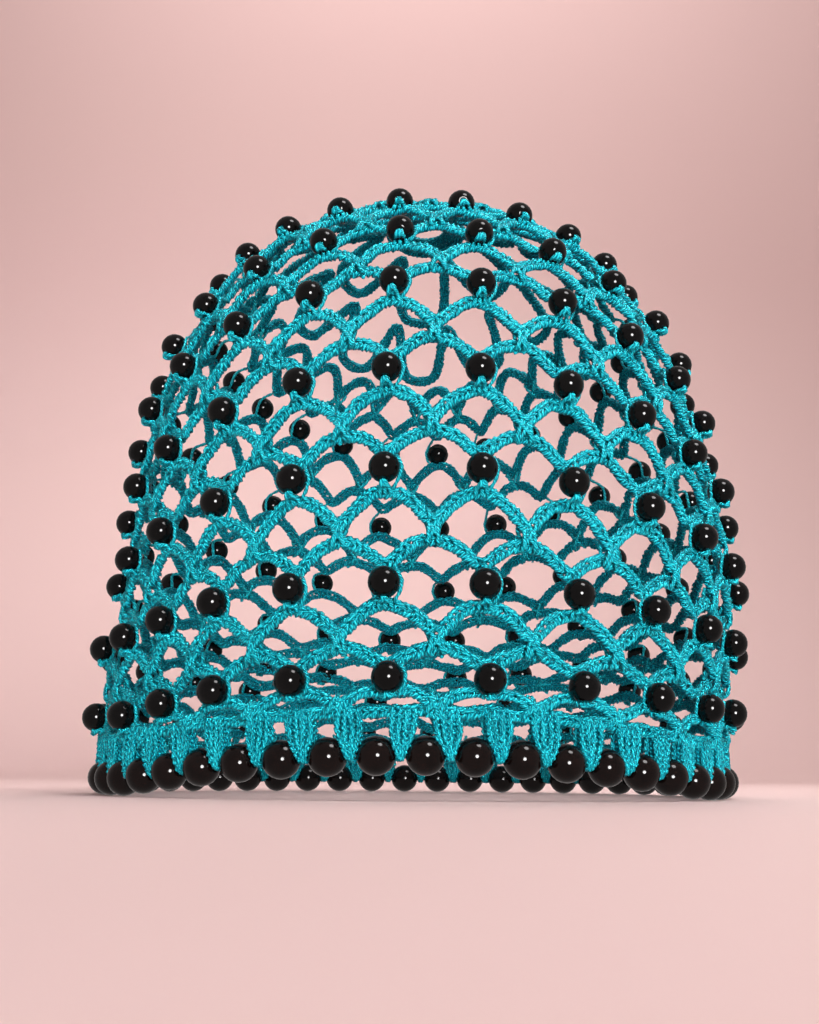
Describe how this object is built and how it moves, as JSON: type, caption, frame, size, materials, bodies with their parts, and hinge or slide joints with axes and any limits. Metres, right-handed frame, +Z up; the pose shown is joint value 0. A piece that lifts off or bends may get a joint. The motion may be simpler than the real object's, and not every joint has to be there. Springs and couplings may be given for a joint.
{
  "type": "crochet hair snood",
  "caption": "Dome-shaped open-net crochet hair snood with dark round beads at the net's knots and a beaded elastic rim under a shell edging.",
  "frame": {"origin": "middle of the footprint, on the surface that the rim beads stand on", "axes": "+Z up from the rim to the crown, -Y towards the wearer's face (the side that the picture shows), +X to the right as seen from there"},
  "size_m": [0.1976, 0.1936, 0.1911],
  "materials": {
    "crochet_yarn": "mercerised cotton, soft sheen",
    "black_bead": "polished"
  },
  "bodies": {
    "root": {"rim_bead_string": "black_bead", "shell_edging": "crochet_yarn", "round_01": "crochet_yarn", "round_02": "crochet_yarn", "round_03": "crochet_yarn", "round_04": "crochet_yarn", "round_05": "crochet_yarn", "round_06": "crochet_yarn", "round_07": "crochet_yarn", "round_08": "crochet_yarn", "round_09": "crochet_yarn", "round_10": "crochet_yarn", "round_11": "crochet_yarn", "round_12": "crochet_yarn", "round_13": "crochet_yarn", "round_14": "crochet_yarn", "round_15": "crochet_yarn", "crown_round_1": "crochet_yarn", "crown_round_2": "crochet_yarn", "crown_disc": "crochet_yarn"}
  },
  "joints": []
}
